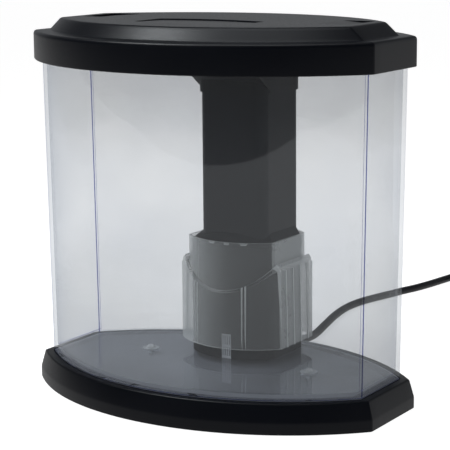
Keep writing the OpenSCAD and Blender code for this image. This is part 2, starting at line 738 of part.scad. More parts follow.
module cord_coil() color([0.04, 0.04, 0.045]) translate([coil_x, coil_y, 0]) rotate_extrude() {
    half = cord_d / 2;
    low_in = coil_turns[2] - half;
    low_out = coil_turns[0] + half;
    polygon([[low_in + 1, 0], [low_out - 1, 0], [low_out, 1], [low_out, 6], [low_out - half, cord_d + 2],
        [low_out - half - 1, cord_d + coil_rise], [low_in + half + 1, cord_d + coil_rise],
        [low_in + half, cord_d + 2], [low_in, 6], [low_in, 1]]);
}

module cord_tie() color([0.1, 0.1, 0.1]) translate([coil_x, coil_y + 38, 0]) difference() {
    translate([-2.5, -12.6, 0]) cube([5, 25.2, 14.4]);
    translate([-10, -11.4, -1]) cube([20, 22.8, 14.6]);
}

module plug_body() color([0.05, 0.05, 0.055]) difference() {
    union() {
        translate([plug_x, plug_y, plug_z]) rotate([90, 0, 0]) cylinder(r1 = 5, r2 = 7.5, h = 16);
        translate([plug_x - 13, plug_y - 40, 1]) cube([26, 28, 16]);
        translate([plug_x - 11, plug_y - 44, 0]) cube([22, 30, 18]);
    }
    for (x = [-9.5, 9.5]) along_y(plug_x + x, plug_y - 45, plug_z, 2.05, 12);
}

module plug_pins() color([0.75, 0.76, 0.78])
    for (x = [-9.5, 9.5]) along_y(plug_x + x, plug_y - 63, plug_z, 2, 30);

base_tray();
bottom_cover();
base_feet();
cover_screws();
seat_gasket();
tank_shell();
floor_screws();
floor_seals();
column_foot();
inlet_strainer();
filter_cup();
pump_chamber();
column_tube();
column_head();
sponge_grid();
filter_sponge();
pump_shelf();
motor_block();
motor_cover();
motor_core();
motor_coil();
pump_volute();
pump_shaft();
shaft_bushes();
impeller();
rotor_magnet();
riser_pipe();
air_nozzle();
air_tube();
lead_conduit();
conduit_seal();
conduit_nut();
lamp_socket();
pump_lead();
driver_box();
inner_lead();
lead_clamp();
clamp_screws();
lid_shell();
lamp_tray();
lamp_screws();
led_board();
led_chips();
lamp_window();
window_seal();
lamp_plug();
feeding_hatch();
hatch_pins();
cord_gland();
power_cord();
cord_coil();
cord_tie();
plug_body();
plug_pins();
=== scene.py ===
"""A small barrel-plan aquarium: black base, clear tank, pump column in a ribbed cup, black lid.

Lengths in the code are millimetres, times MM where they reach Blender, which works in metres.
The frame: +X to the right along the width, +Y to the back, +Z up, the table at z = 0.
"""

import json
import math

import bmesh
import bpy
from mathutils import Matrix, Vector


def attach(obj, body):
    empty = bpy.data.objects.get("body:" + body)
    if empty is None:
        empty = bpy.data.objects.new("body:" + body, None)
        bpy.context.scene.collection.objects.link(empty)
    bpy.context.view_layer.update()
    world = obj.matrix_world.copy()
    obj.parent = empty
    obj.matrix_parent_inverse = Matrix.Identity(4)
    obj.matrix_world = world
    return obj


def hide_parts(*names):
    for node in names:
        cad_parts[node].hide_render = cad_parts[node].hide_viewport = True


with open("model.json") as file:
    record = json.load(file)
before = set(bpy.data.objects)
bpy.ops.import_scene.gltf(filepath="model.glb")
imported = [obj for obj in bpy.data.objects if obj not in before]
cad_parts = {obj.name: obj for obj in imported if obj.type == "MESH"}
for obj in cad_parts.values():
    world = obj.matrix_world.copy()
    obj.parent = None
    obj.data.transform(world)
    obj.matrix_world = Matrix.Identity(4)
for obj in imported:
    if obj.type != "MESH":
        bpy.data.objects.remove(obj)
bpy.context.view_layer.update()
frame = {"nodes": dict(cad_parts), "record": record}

MM = 0.001


def placed(name, data):
    """A new object holding data, linked to the scene."""
    obj = bpy.data.objects.new(name, data)
    bpy.context.scene.collection.objects.link(obj)
    return obj


# ---------------------------------------------------------------- camera

CAMERA_AT = (683.6, -1088.5, 374.5)
CAMERA_YAW = 0.55758  # radians to the left of +Y
CAMERA_PITCH = 0.18471  # radians down
CAMERA_ROLL = -0.00814  # radians about the line of sight
FOCAL_PX = 1689.0
IMAGE_PX = 450
SENSOR = 36.0  # mm wide
FAR_CLIP = 50.0  # m


def aim_camera():
    forward = Vector(
        (
            -math.sin(CAMERA_YAW) * math.cos(CAMERA_PITCH),
            math.cos(CAMERA_YAW) * math.cos(CAMERA_PITCH),
            -math.sin(CAMERA_PITCH),
        )
    )
    level = Vector((math.cos(CAMERA_YAW), math.sin(CAMERA_YAW), 0.0))
    upright = level.cross(forward)
    right = math.cos(CAMERA_ROLL) * level + math.sin(CAMERA_ROLL) * upright
    up = right.cross(forward)
    data = bpy.data.cameras.new("camera")
    data.sensor_width = SENSOR
    data.lens = FOCAL_PX / IMAGE_PX * SENSOR
    data.clip_end = FAR_CLIP
    camera = placed("camera", data)
    turn = Matrix((right, up, -forward)).transposed()
    camera.matrix_world = Matrix.Translation(Vector(CAMERA_AT) * MM) @ turn.to_4x4()
    bpy.context.scene.camera = camera


aim_camera()
bpy.context.scene.view_settings.view_transform = "Standard"


# ---------------------------------------------------------------- materials

NOISE_LOW, NOISE_HIGH = 0.3, 0.7  # nearly all of a noise lies between these
GRAIN_STRENGTH, MILKY_STRENGTH = 0.6, 0.4  # how much of a bump's depth shows
FACE_ON = 0.04  # the share of light that clear plastic mirrors, seen face on
MIRROR_POWER, TINT_POWER = 5.0, 8.0  # how late the mirror and the tint set in towards edge on
COLD_WHITE = (0.94, 0.97, 1)
MILK = (0.75, 0.77, 0.78)
SHADE_SPAN = 0.27  # m, the height that a clear wall's table of painted shade covers


def new_material(name):
    """A material, its node tree, its Principled shader and its output node."""
    material = bpy.data.materials.new(name)
    material.use_nodes = True
    tree = material.node_tree
    tree.nodes.clear()
    out = tree.nodes.new("ShaderNodeOutputMaterial")
    shader = tree.nodes.new("ShaderNodeBsdfPrincipled")
    tree.links.new(shader.outputs[0], out.inputs["Surface"])
    return material, tree, shader, out


def noise(tree, scale, detail=3.0, stretch=(1, 1, 1)):
    """The output of a noise in object space, scale in waves per metre."""
    where = tree.nodes.new("ShaderNodeTexCoord")
    mapping = tree.nodes.new("ShaderNodeMapping")
    mapping.inputs["Scale"].default_value = stretch
    texture = tree.nodes.new("ShaderNodeTexNoise")
    texture.inputs["Scale"].default_value = scale
    texture.inputs["Detail"].default_value = detail
    tree.links.new(where.outputs["Object"], mapping.inputs["Vector"])
    tree.links.new(mapping.outputs[0], texture.inputs["Vector"])
    return texture.outputs[0]


def spread(tree, value, low, high, start=NOISE_LOW, end=NOISE_HIGH):
    """value, from start to end, as a number from low to high."""
    node = tree.nodes.new("ShaderNodeMapRange")
    sockets = ("From Min", "From Max", "To Min", "To Max")
    for socket, number in zip(sockets, (start, end, low, high)):
        node.inputs[socket].default_value = number
    tree.links.new(value, node.inputs["Value"])
    return node.outputs[0]


def tinted(tree, value, dark, light):
    """A colour that goes from dark to light with a noise."""
    node = tree.nodes.new("ShaderNodeValToRGB")
    stops = node.color_ramp.elements
    for stop, position, colour in zip(stops, (NOISE_LOW, NOISE_HIGH), (dark, light)):
        stop.position = position
        stop.color = (*colour, 1)
    tree.links.new(value, node.inputs[0])
    return node.outputs[0]


def bumped(tree, shader, height, distance, strength):
    """Gives shader a bump, distance deep in metres."""
    node = tree.nodes.new("ShaderNodeBump")
    node.inputs["Distance"].default_value = distance
    node.inputs["Strength"].default_value = strength
    tree.links.new(height, node.inputs["Height"])
    tree.links.new(node.outputs[0], shader.inputs["Normal"])


def solid(
    name, dark, light, rough, grain, depth,
    cloud=18.0, metallic=0.0, specular=0.5, stretch=(1, 1, 1),
):
    """A moulded or metal surface: a slow colour cloud, a fine grain in the roughness and the bump.
    grain and cloud are in waves per metre, depth is the bump's in mm."""
    material, tree, shader, _ = new_material(name)
    colour = tinted(tree, noise(tree, cloud, 4.0), dark, light)
    tree.links.new(colour, shader.inputs["Base Color"])
    fine = noise(tree, grain, 2.0, stretch)
    tree.links.new(spread(tree, fine, *rough), shader.inputs["Roughness"])
    bumped(tree, shader, fine, depth * MM, GRAIN_STRENGTH)
    shader.inputs["Metallic"].default_value = metallic
    shader.inputs["Specular IOR Level"].default_value = specular
    return material


def math_node(tree, operation, *values):
    """A Math node's output. Each value is a number or an output."""
    node = tree.nodes.new("ShaderNodeMath")
    node.operation = operation
    for socket, value in zip(node.inputs, values):
        if isinstance(value, (int, float)):
            socket.default_value = value
        else:
            tree.links.new(value, socket)
    return node.outputs[0]


def coordinates(tree, kind):
    """The outputs X, Y and Z of a kind of texture coordinates."""
    where = tree.nodes.new("ShaderNodeTexCoord")
    split = tree.nodes.new("ShaderNodeSeparateXYZ")
    tree.links.new(where.outputs[kind], split.inputs[0])
    return split.outputs


def blended(tree, share, first, second):
    """A mix of two shaders' outputs. share, a number or an output, is how much of the second."""
    node = tree.nodes.new("ShaderNodeMixShader")
    if isinstance(share, float):
        node.inputs[0].default_value = share
    else:
        tree.links.new(share, node.inputs[0])
    tree.links.new(first, node.inputs[1])
    tree.links.new(second, node.inputs[2])
    return node.outputs[0]


def grazing(tree, power):
    """From 0 where a surface is seen face on to 1 where it is seen edge on."""
    edge = tree.nodes.new("ShaderNodeLayerWeight")
    edge.inputs["Blend"].default_value = 0.5
    return math_node(tree, "POWER", edge.outputs["Facing"], power)


def painted_shade_by_height(tree, tint, heights):
    """Painted shade: tint at the greys that heights gives, as (height in metres, grey) rows."""
    ramp = tree.nodes.new("ShaderNodeValToRGB")
    stops = ramp.color_ramp.elements
    while len(stops) < len(heights):
        stops.new(1.0)
    for stop, (height, grey) in zip(stops, heights):
        stop.position = height / SHADE_SPAN
        stop.color = (*(grey * channel / max(tint) for channel in tint), 1)
    wander = spread(tree, noise(tree, 9.0, 3.0), -0.02, 0.02)
    rise = math_node(tree, "ADD", coordinates(tree, "Object")["Z"], wander)
    tree.links.new(math_node(tree, "DIVIDE", rise, SHADE_SPAN), ramp.inputs[0])
    return ramp.outputs[0]


def clear(name, tint, deep, shine=1.0, rough=0.004, haze=0.0, heights=None):
    """A thin clear wall: light goes straight through, tinted more where the wall is seen edge on,
    and it mirrors as such plastic does, little face on and much edge on. shine turns the mirror up
    or down, haze is the share of milk in it, and heights are rows of painted shade for
    painted_shade_by_height."""
    material, tree, shader, out = new_material(name)
    tree.nodes.remove(shader)
    through = tree.nodes.new("ShaderNodeBsdfTransparent")
    blend = tree.nodes.new("ShaderNodeMix")
    blend.data_type = "RGBA"
    face_on, edge_on = blend.inputs[6], blend.inputs[7]
    face_on.default_value = (*tint, 1)
    edge_on.default_value = (*deep, 1)
    # painted shade: the wall's face-on tint darkens by height
    if heights:
        tree.links.new(painted_shade_by_height(tree, tint, heights), face_on)
    cloud = spread(tree, noise(tree, 14.0, 2.0), 0.0, 0.08)
    tree.links.new(math_node(tree, "ADD", grazing(tree, TINT_POWER), cloud), blend.inputs[0])
    tree.links.new(blend.outputs[2], through.inputs["Color"])
    mirror = tree.nodes.new("ShaderNodeBsdfGlossy")
    mirror.inputs["Color"].default_value = (*COLD_WHITE, 1)
    mirror.inputs["Roughness"].default_value = rough
    most, least = (1 - FACE_ON) * shine, FACE_ON * min(shine * 2, 1)
    share = math_node(tree, "MULTIPLY_ADD", grazing(tree, MIRROR_POWER), most, least)
    surface = blended(tree, share, through.outputs[0], mirror.outputs[0])
    if haze:
        milk = tree.nodes.new("ShaderNodeBsdfDiffuse")
        milk.inputs["Color"].default_value = (*MILK, 1)
        surface = blended(tree, haze, surface, milk.outputs[0])
    tree.links.new(surface, out.inputs["Surface"])
    return material


def milky(name, dark, light, rough, alpha, depth=0.05, power=1.6):
    """A thin translucent plastic: most light goes straight through it face on, little edge on.
    alpha is its cover face on and edge on, power how late the second sets in."""
    material, tree, shader, _ = new_material(name)
    tree.links.new(tinted(tree, noise(tree, 60.0), dark, light), shader.inputs["Base Color"])
    tree.links.new(spread(tree, noise(tree, 420.0, 2.0), *rough), shader.inputs["Roughness"])
    bumped(tree, shader, noise(tree, 160.0, 2.0), depth * MM, MILKY_STRENGTH)
    cover = spread(tree, grazing(tree, power), *alpha, start=0.0, end=1.0)
    tree.links.new(cover, shader.inputs["Alpha"])
    shader.inputs["IOR"].default_value = 1.5
    return material


# name: dark, light, rough from and to, grain, depth, and what differs from the usual.
SOLIDS = {
    "black_shell": ((0.0012, 0.0015, 0.0027), (0.002, 0.0024, 0.0038), (0.34, 0.42), 900.0, 0.002,
                    {"specular": 0.17}),
    "black_matte": ((0.02, 0.02, 0.022), (0.032, 0.032, 0.035), (0.5, 0.68), 1800.0, 0.04, {}),
    "column_grey": ((0.004, 0.005, 0.0075), (0.006, 0.007, 0.01), (0.3, 0.4), 500.0, 0.0006,
                    {"specular": 0.14}),
    "rubber_black": ((0.016, 0.016, 0.016), (0.028, 0.028, 0.028), (0.6, 0.8), 1600.0, 0.05, {}),
    "screw_steel": ((0.5, 0.5, 0.52), (0.64, 0.64, 0.66), (0.22, 0.38), 900.0, 0.01,
                    {"metallic": 1.0, "stretch": (1, 1, 6)}),
    "foam_dark": ((0.02, 0.023, 0.03), (0.075, 0.08, 0.1), (0.85, 1.0), 620.0, 0.9,
                  {"cloud": 500.0}),
    "core_iron": ((0.1, 0.1, 0.105), (0.2, 0.2, 0.21), (0.35, 0.55), 1400.0, 0.05,
                  {"metallic": 0.8, "stretch": (1, 12, 1)}),
    "coil_copper": ((0.55, 0.24, 0.1), (0.72, 0.38, 0.2), (0.22, 0.36), 1200.0, 0.1,
                    {"metallic": 1.0, "stretch": (8, 1, 1)}),
    "shaft_ceramic": ((0.8, 0.79, 0.75), (0.88, 0.87, 0.84), (0.08, 0.16), 700.0, 0.004, {}),
    "white_plastic": ((0.74, 0.74, 0.72), (0.82, 0.82, 0.8), (0.3, 0.42), 1500.0, 0.02, {}),
    "lead_black": ((0.006, 0.006, 0.0075), (0.01, 0.01, 0.012), (0.34, 0.44), 700.0, 0.01,
                   {"specular": 0.3}),
    "board_white": ((0.7, 0.74, 0.7), (0.8, 0.83, 0.8), (0.35, 0.5), 800.0, 0.01, {}),
    "led_yellow": ((0.85, 0.66, 0.16), (0.92, 0.76, 0.26), (0.25, 0.4), 1500.0, 0.02, {}),
    "pin_steel": ((0.62, 0.62, 0.64), (0.75, 0.75, 0.77), (0.12, 0.24), 900.0, 0.005,
                  {"metallic": 1.0, "stretch": (1, 8, 8)}),
    "tie_black": ((0.018, 0.018, 0.018), (0.03, 0.03, 0.03), (0.45, 0.6), 1600.0, 0.03, {}),
    "plug_black": ((0.016, 0.016, 0.018), (0.026, 0.026, 0.028), (0.5, 0.66), 1500.0, 0.05, {}),
    "pin_nickel": ((0.6, 0.59, 0.56), (0.74, 0.73, 0.7), (0.14, 0.26), 800.0, 0.005,
                   {"metallic": 1.0, "stretch": (8, 1, 8)}),
    # clear_seat's grey, where the tank's underside wears it, is painted light: it stands for the
    # light that the floor slab mirrors and pipes along
    "clear_seat": ((0.4, 0.41, 0.45), (0.44, 0.45, 0.49), (0.3, 0.4), 300.0, 0.001,
                   {"specular": 0.1}),
    "strainer_grey": ((0.4, 0.41, 0.43), (0.48, 0.49, 0.51), (0.25, 0.35), 1500.0, 0.004, {}),
}
# name: tint face on, tint edge on, and what differs from the usual.
CLEARS = {
    "clear_tank": ((0.95, 0.955, 0.96), (0.62, 0.66, 0.74), {
        "shine": 0.62,
        # heights paint shade into the wall's tint: darker near the top for the lid's shade and
        # reflection, and darker towards the bottom
        "heights": [(0.0, 0.84), (0.07, 0.87), (0.13, 0.925), (0.19, 0.925), (0.245, 0.85)],
    }),
    # clear_edge is painted refraction: its dark navy stands for the dark lines that the tank's
    # rounded corners and its floor slab's edge bend into view
    "clear_edge": ((0.14, 0.16, 0.4), (0.05, 0.06, 0.24), {"shine": 0.1}),
    "clear_floor": ((0.9, 0.91, 0.92), (0.6, 0.62, 0.68), {"shine": 1.4}),
    "clear_pipe": ((0.86, 0.88, 0.9), (0.5, 0.55, 0.6), {"haze": 0.1}),
}
# name: dark, light, rough from and to, alpha face on and edge on, and what differs.
MILKIES = {
    "clear_cup": ((0.7, 0.72, 0.71), (0.78, 0.8, 0.79), (0.14, 0.24), (0.04, 1.0),
                  {"depth": 0.01, "power": 1.7}),
    "clear_rib": ((0.8, 0.82, 0.8), (0.86, 0.88, 0.86), (0.14, 0.24), (0.4, 1.0),
                  {"depth": 0.01}),
    "clear_cap": ((0.72, 0.74, 0.76), (0.8, 0.82, 0.84), (0.05, 0.1), (0.35, 0.9), {}),
    "clear_seal": ((0.62, 0.65, 0.67), (0.7, 0.73, 0.75), (0.1, 0.2), (0.2, 0.8), {}),
}
LOOKS = {
    name: make(name, *row, **more)
    for make, table in ((solid, SOLIDS), (clear, CLEARS), (milky, MILKIES))
    for name, (*row, more) in table.items()
}
SLOT = {part["node"]: part["material_slot"] for part in frame["record"]["subparts"]}


def dress(obj, slot):
    obj.data.materials.clear()
    obj.data.materials.append(LOOKS[slot])


# ---------------------------------------------------------------- mesh helpers

SHARP = 35  # degrees, from where an edge counts as sharp
TANK_SHARP = 60


def outline(w, side, d):
    """A barrel outline w wide and d deep, with flats of length side, as its half width, its bows'
    radius and how far their centres lie past the middle."""
    rise = (d - side) / 2
    radius = (w * w / 4 + rise * rise) / (2 * rise)
    return (w / 2, radius, radius - d / 2)


def grown(o, side, bow=None):
    """An outline grown by side, or by side at its flats and by bow at its bows."""
    return (o[0] + side, o[1] + (side if bow is None else bow), o[2])


def quarter(w, radius, centre, r, bow=22, corner=6, side=3):
    """Points from the middle of a front bow to the middle of the side at y = 0. r rounds the
    corner; bow, corner and side are the numbers of steps."""
    drop = math.sqrt((radius - r) ** 2 - (w - r) ** 2)
    end = math.asin((w - r) / (radius - r))
    points = []
    for i in range(bow + 1):
        a = end * i / bow
        points.append((radius * math.sin(a), centre - radius * math.cos(a)))
    for i in range(1, corner + 1):
        a = (end - math.pi / 2) * (1 - i / corner)
        points.append((w - r + r * math.cos(a), centre - drop + r * math.sin(a)))
    low = points[-1][1]
    points += [(w, low * (1 - i / side)) for i in range(1, side + 1)]
    return points


def plan(o, r, y0=0.0):
    """A whole outline round (0, y0), anticlockwise from the front's middle."""
    front = quarter(*o, r)
    right = front + [(x, -y) for x, y in reversed(front[:-1])]
    ring = right + [(-x, y) for x, y in reversed(right[1:-1])]
    return [(x, y + y0) for x, y in ring]


def at_height(ring, z):
    return [(x, y, z) for x, y in ring]


def eased(path, radii, steps=4):
    """A path in two dimensions with each corner rounded by its radius."""
    out = []
    for i, (p, r) in enumerate(zip(path, radii)):
        if r <= 0 or i in (0, len(path) - 1):
            out.append(p)
            continue
        p = Vector(p)
        back, on = Vector(path[i - 1]) - p, Vector(path[i + 1]) - p
        a = p + back.normalized() * min(r, back.length * 0.5)
        b = p + on.normalized() * min(r, on.length * 0.5)
        for k in range(steps + 1):
            t = k / steps
            out.append(tuple(a * (1 - t) ** 2 + p * (2 * t * (1 - t)) + b * t * t))
    return out


def add_loft(bm, rings, loop=False):
    """Quad strips through rings of points in mm, closed into a loop or capped at both ends."""
    rows = [[bm.verts.new(Vector(p) * MM) for p in ring] for ring in rings]
    count = len(rows[0])
    for low, top in zip(rows, rows[1:] + rows[:1] if loop else rows[1:]):
        for i in range(count):
            k = (i + 1) % count
            bm.faces.new((low[i], low[k], top[k], top[i]))
    if not loop:
        bm.faces.new(list(reversed(rows[0])))
        bm.faces.new(rows[-1])


def add_turned(bm, profile, centre, axis="z", steps=48):
    """A turned solid: profile is (radius, height) points, from the axis out and back to it. A
    profile that keeps off the axis is closed into a ring."""

    def spot(radius, along, a):
        across, up = radius * math.cos(a), radius * math.sin(a)
        x, y, z = (across, up, along) if axis == "z" else (across, along, up)
        return Vector((x + centre[0], y + centre[1], z + centre[2])) * MM

    rows = []
    for radius, along in profile:
        angles = [2 * math.pi * i / steps for i in range(steps)] if radius else [0]
        rows.append([bm.verts.new(spot(radius, along, a)) for a in angles])
    on_axis = len(rows[0]) == 1
    for low, top in zip(rows, rows[1:] if on_axis else rows[1:] + rows[:1]):
        for i in range(steps):
            k = (i + 1) % steps
            corners = [low[i % len(low)], low[k % len(low)], top[k % len(top)], top[i % len(top)]]
            bm.faces.new(list(dict.fromkeys(corners)))


def piece(name, bm, body, slot, *nodes, sharp=SHARP):
    """The mesh in bm as a piece that rides on body and stands for the CAD nodes."""
    bmesh.ops.recalc_face_normals(bm, faces=bm.faces)
    mesh = bpy.data.meshes.new(name)
    bm.to_mesh(mesh)
    bm.free()
    mesh.shade_smooth()
    mesh.set_sharp_from_angle(angle=math.radians(sharp))
    obj = placed(name, mesh)
    dress(obj, slot)
    if nodes:
        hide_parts(*nodes)
    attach(obj, body)
    return obj


def softened(obj, width, segments):
    """Rounds the sharp edges of a CAD node by width in mm."""
    obj.data.shade_smooth()
    bevel = obj.modifiers.new("edges", "BEVEL")
    bevel.width = width * MM
    bevel.segments = segments
    bevel.limit_method = "ANGLE"
    bevel.angle_limit = math.radians(SHARP)
    bevel.miter_outer = "MITER_ARC"
    bevel.use_clamp_overlap = True
    bevel.harden_normals = True


# ---------------------------------------------------------------- cord

CORD_D = 7.0
GLAND_X, GLAND_Z, GLAND_END = -6.0, 10.5, 130.0
GLAND_BORE = CORD_D / 2 + 0.02
GLAND_TAPER, GLAND_GROOVES, GROOVE_STEP = 28.0, 7, 3.5
CORD_ROUTE = [
    (GLAND_X, GLAND_END, GLAND_Z), (-8, 147, 9.5), (-12, 164, 7), (-17, 182, 4.5),
    (-22, 200, 3.5), (-27, 219, 3.5), (-32, 238, 3.5), (-37, 258, 3.5), (-41, 279, 3.5),
    (-43, 300, 3.5), (-42, 321, 3.5), (-38, 341, 3.5), (-33, 361, 3.5), (-28, 382, 3.5),
    (-22, 403, 3.5), (-18, 424, 3.5), (-15, 445, 3.5), (-12, 466, 3.5), (-9, 486, 3.5),
]
COIL_AT = (37.0, 505.0)
LOW, GROOVE, OVER = 3.5, 9.6, 10.6  # on the table, between two turns below, across a turn
# The coil's turns, clockwise from its left side: degrees turned, radius, height.
COIL = [
    (0, 45, LOW), (300, 45, LOW), (360, 38, LOW), (660, 38, LOW), (720, 31, LOW), (960, 31, LOW),
    (1018, 31, GROOVE), (1048, 32.5, 10.4), (1062, 33.4, 10.6), (1080, 34.5, GROOVE),
    (1300, 34.5, GROOVE), (1320, 35, GROOVE), (1350, 38.2, OVER), (1378, 41.4, GROOVE),
    (1390, 41.5, GROOVE), (1410, 41.5, OVER), (1430, 41.5, GROOVE), (1440, 41.5, GROOVE),
    (1614, 41.5, GROOVE),
]
PLUG_ROUTE = [(78.8, 499, 9.5), (80, 489, 9.5), (82, 475, 9), (83, 458, 9)]


def smooth_between(table, at):
    """A row of table at a value of its first column, eased between the rows on either side."""
    for low, high in zip(table, table[1:]):
        if at <= high[0]:
            t = (at - low[0]) / (high[0] - low[0])
            t = t * t * (3 - 2 * t)
            return [a + (b - a) * t for a, b in zip(low[1:], high[1:])]
    return list(table[-1][1:])


def coil_points(step=10):
    """The coil's middle line, a point at every step degrees."""
    points = []
    for turned in range(0, COIL[-1][0] + 1, step):
        radius, z = smooth_between(COIL, turned)
        a = math.pi - math.radians(turned)
        points.append((COIL_AT[0] + radius * math.cos(a), COIL_AT[1] + radius * math.sin(a), z))
    return points


def make_curve(name, points, radius, sides=6):
    data = bpy.data.curves.new(name, "CURVE")
    data.dimensions = "3D"
    data.bevel_depth = radius * MM
    data.bevel_resolution = sides
    data.use_fill_caps = True
    data.resolution_u = 6
    spline = data.splines.new("BEZIER")
    spline.bezier_points.add(len(points) - 1)
    for knot, p in zip(spline.bezier_points, points):
        knot.co = Vector(p) * MM
        knot.handle_left_type = knot.handle_right_type = "AUTO"
    return placed(name, data)


def gland_profile():
    """The strain relief: a flange on the base, then a taper cut by grooves."""
    profile = [
        (GLAND_BORE, -33.6), (5.8, -33.6), (5.8, -29.0),
        (7.4, -29.0), (7.8, -28.6), (7.8, -27.2), (7.4, -26.8),
    ]
    for i in range(GLAND_GROOVES):
        low = -26.0 + i * GROOVE_STEP
        r = 6.0 - 1.5 * (low + GLAND_TAPER) / GLAND_TAPER
        profile += [(r, low), (r - 0.05, low + 2.0), (r - 1.0, low + 2.3), (r - 1.05, low + 3.2)]
    return profile + [(4.5, -1.2), (4.2, 0.0), (GLAND_BORE, 0.0)]


def make_cord():
    points = CORD_ROUTE + coil_points() + PLUG_ROUTE
    cord = make_curve("power_cord_lead", points, CORD_D / 2)
    cord.data.materials.append(LOOKS["lead_black"])
    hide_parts("power_cord", "cord_coil")
    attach(cord, "tank")
    bm = bmesh.new()
    add_turned(bm, gland_profile(), (GLAND_X, GLAND_END, GLAND_Z), axis="y", steps=40)
    gland = piece("strain_relief", bm, "tank", "rubber_black", "cord_gland")


make_cord()


# ---------------------------------------------------------------- base

BASE = outline(302, 70, 202)
TANK = outline(281, 62, 181)
TANK_Z = 23.1
BAND_TOP, LEDGE_Z, BASE_SLOPE, DECK_Z = 10.0, 23.6, 3.8, 22.1
BASE_CORNER, WELL_CORNER = 3.0, 2.4
BASE_WALL, BASE_ROOF = 2.6, 19.1
TANK_GAP = 0.4


def ringed(o, path, corner, y0=0.0):
    """Rings along a path of (growth, height) points round one outline."""
    return [at_height(plan(grown(o, g), max(corner + g, 0.4), y0), z) for g, z in path]


def make_base():
    """A hollow tray: a band, a slope up to a ledge, and a well in the ledge for the tank."""
    seat = TANK[0] + TANK_GAP - BASE[0]
    outer = eased(
        [(-0.9, 1.0), (0, 1.4), (0, BAND_TOP), (-BASE_SLOPE, LEDGE_Z), (seat - 1.2, LEDGE_Z)],
        [0, 0.4, 1.2, 1.3, 0],
    )
    rings = ringed(BASE, outer, BASE_CORNER)
    well = ringed(
        TANK, [(0.9, LEDGE_Z), (TANK_GAP, LEDGE_Z - 0.4), (TANK_GAP, DECK_Z)], WELL_CORNER
    )
    under = ringed(BASE, [(-BASE_WALL, BASE_ROOF), (-BASE_WALL, 1.0)], BASE_CORNER)
    bm = bmesh.new()
    add_loft(bm, under + rings[:-1] + well)
    piece("base_moulding", bm, "tank", "black_shell", "base_tray")


make_base()


# ---------------------------------------------------------------- tank

TANK_RATE = (0.0150, 0.0120)  # how fast the flats and the bows lean out going up
TANK_WALL, FLOOR_Z, TANK_TOP = 3.0, 27.6, 268.0
TANK_CORNER = 1.6
WALL_HEIGHTS = (60, 100, 140, 180, 220)  # where the walls have an extra ring
TANK_LOOKS = ("clear_tank", "clear_edge", "clear_seat", "clear_floor")
CORNER_TURN = (0.72, 0.985)  # how far to the side the faces of the four corners look; these faces get painted refraction lines


def tank_plan(inset, z, corner):
    up = z - TANK_Z
    return plan(grown(TANK, TANK_RATE[0] * up - inset, TANK_RATE[1] * up - inset), corner)


def tank_look(face):
    """The name of a face's look: wall, corner or bottom edge with painted refraction lines,
    underside with painted slab light, or floor.
    """
    x, _, z = face.center / MM
    # the underside gets an opaque grey, painted light standing for what the floor slab mirrors and
    # pipes
    if face.normal.z < -0.5:
        return "clear_seat"
    if face.normal.z > 0.9 and z < FLOOR_Z + 2:
        return "clear_floor"
    corner = CORNER_TURN[0] < abs(face.normal.x) < CORNER_TURN[1] and abs(x) > 130
    # corners and the band below the floor get the painted dark refraction lines
    return "clear_edge" if corner or z < FLOOR_Z - 0.6 else "clear_tank"


def make_tank():
    """An open clear box: its outer wall going up, then its inner wall going down to the floor."""
    outer = eased(
        [(0.8, TANK_Z), (0, TANK_Z + 0.8), (0, TANK_TOP), (TANK_WALL / 2, TANK_TOP)],
        [0, 0.4, 0.6, 0],
    )
    inner = eased(
        [(TANK_WALL / 2, TANK_TOP), (TANK_WALL, TANK_TOP), (TANK_WALL, FLOOR_Z),
         (TANK_WALL + 6, FLOOR_Z)],
        [0, 0.6, 1.6, 0],
    )
    path = []
    for here, after in zip(outer, outer[1:]):
        path.append(here)
        if after[1] - here[1] > 100:
            path += [(0, z) for z in WALL_HEIGHTS]
    rings = [
        at_height(tank_plan(inset, z, max(TANK_CORNER - inset, 0.5)), z)
        for inset, z in path + inner
    ]
    bm = bmesh.new()
    add_loft(bm, rings)
    tank = piece("tank_walls", bm, "tank", "clear_tank", "tank_shell", sharp=TANK_SHARP)
    for look in TANK_LOOKS[1:]:
        tank.data.materials.append(LOOKS[look])
    for face in tank.data.polygons:
        face.material_index = TANK_LOOKS.index(tank_look(face))


make_tank()


# ---------------------------------------------------------------- lid

LID = outline(300, 69, 212)
SLOPE = outline(277, 57, 186)
SLOPE_RUN = (-11.1, -8.5)  # how far the slope runs in, at the flats and at the bows
SLOPE_HEIGHTS = (283.7, 285.5, 288.0, 290.5, 291.9)
RIM_Z, RIM_TOP, RIM_DECK, PLATEAU_Z, UNDER_Z = 260.3, 283.0, 280.4, 292.8, 290.2
RIM_WALL, SLOPE_WALL = 2.6, 3.2
LID_CORNER = 4.0
# The two ribs under the rim that hold the tank's edge between them: outer, inner and low edge.
RIM_RIBS = ((1.0, -1.0, TANK_TOP), (-3.8, -5.8, TANK_TOP - 5))
HATCH = outline(92, 34, 50)
HATCH_Y, HATCH_CORNER = -27.0, 1.6
HATCH_EDGE = [(1.4, 292.8), (0.5, 292.8), (0.15, 292.65), (0, 292.3), (0, 290.2)]
HINGE_Y, HINGE_Z = -15.0, 288.5
LIP_Z, LIP_OUT, LIP_IN = 288.2, 4.0, -2.5  # the ledge under the hatch's front
PIN_BOSS_X, PIN_BOSS = (-50.2, 50.2), (5.6, 6.0, 5.0)
EAR_X, EAR_Y = (-87.0, 87.0), (32.0, 52.0)
EAR = [(0, 282), (3.6, 282), (3.6, 290.7), (0, 290.7)]  # a boss for one of the lamp tray's screws
GRIP_X, GRIP_Y, GRIP_LEAN = (91.0, 118.0), (-12.0, 30.0), 3.6  # the lean is in degrees


def slope_ring(inset, z):
    part = (z - RIM_TOP) / (PLATEAU_Z - RIM_TOP)
    side, bow = (run * part - inset for run in SLOPE_RUN)
    return at_height(plan(grown(SLOPE, side, bow), LID_CORNER), z)


